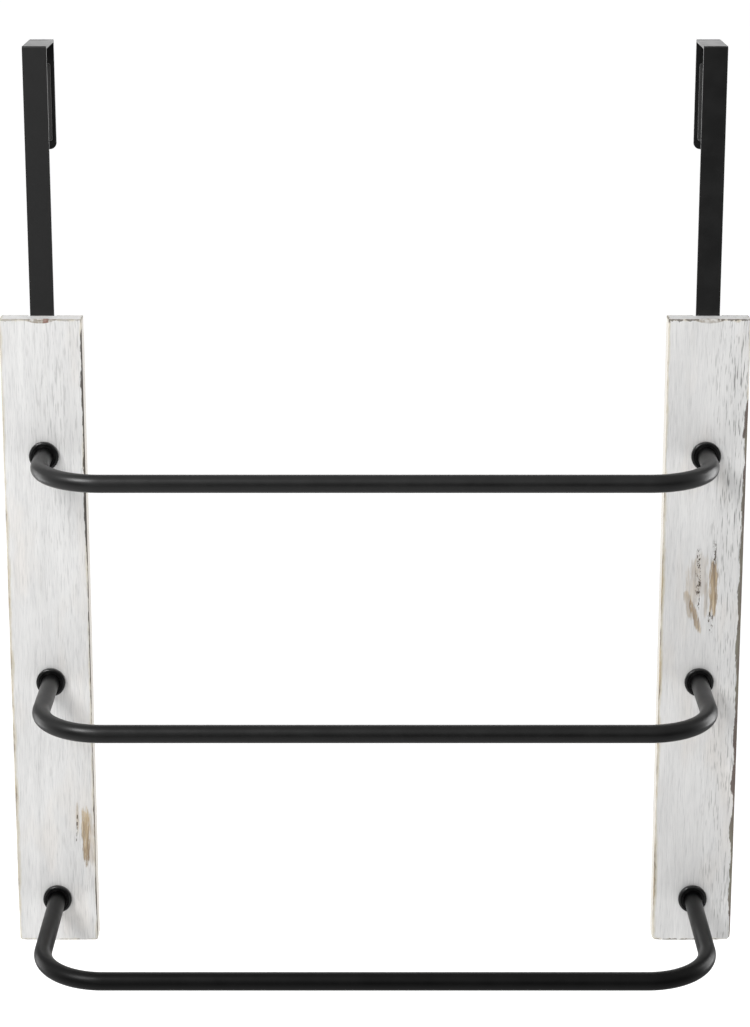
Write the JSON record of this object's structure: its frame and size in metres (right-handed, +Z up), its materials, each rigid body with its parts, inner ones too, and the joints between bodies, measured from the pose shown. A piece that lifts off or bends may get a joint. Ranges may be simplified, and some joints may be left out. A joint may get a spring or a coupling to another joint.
{
  "type": "over-the-door towel rack",
  "caption": "Over-the-door towel rack: whitewashed wooden uprights hung from flat black steel door hooks, with U-shaped black tube bars that step out further from top to bottom.",
  "frame": {"origin": "middle of the door's top front edge: hook seats in z = 0, backs of the boards in y = 0", "axes": "+Z up; -Y to the room, the side that the bars stand out on; +X to the right seen from the front"},
  "size_m": [0.5, 0.1839, 0.628],
  "materials": {
    "whitewashed_wood": "brushed whitewash, worn edges",
    "black_steel": "satin black powder coat",
    "black_collar": "gloss black",
    "zinc_steel": "zinc plated",
    "bare_steel": "turned",
    "black_felt": "pressed felt"
  },
  "bodies": {
    "root": {"left_board": "whitewashed_wood", "left_door_hook": "black_steel", "left_hook_pad": "black_felt", "left_bumper": "black_felt", "left_upper_hook_screw": "zinc_steel", "left_lower_hook_screw": "zinc_steel", "left_top_collar": "black_collar", "left_top_tube_plug": "bare_steel", "left_top_bar_screw": "zinc_steel", "left_top_bar_washer": "zinc_steel", "left_middle_collar": "black_collar", "left_middle_tube_plug": "bare_steel", "left_middle_bar_screw": "zinc_steel", "left_middle_bar_washer": "zinc_steel", "left_bottom_collar": "black_collar", "left_bottom_tube_plug": "bare_steel", "left_bottom_bar_screw": "zinc_steel", "left_bottom_bar_washer": "zinc_steel", "right_board": "whitewashed_wood", "right_door_hook": "black_steel", "right_hook_pad": "black_felt", "right_bumper": "black_felt", "right_upper_hook_screw": "zinc_steel", "right_lower_hook_screw": "zinc_steel", "right_top_collar": "black_collar", "right_top_tube_plug": "bare_steel", "right_top_bar_screw": "zinc_steel", "right_top_bar_washer": "zinc_steel", "right_middle_collar": "black_collar", "right_middle_tube_plug": "bare_steel", "right_middle_bar_screw": "zinc_steel", "right_middle_bar_washer": "zinc_steel", "right_bottom_collar": "black_collar", "right_bottom_tube_plug": "bare_steel", "right_bottom_bar_screw": "zinc_steel", "right_bottom_bar_washer": "zinc_steel", "top_bar": "black_steel", "middle_bar": "black_steel", "bottom_bar": "black_steel"}
  },
  "joints": []
}
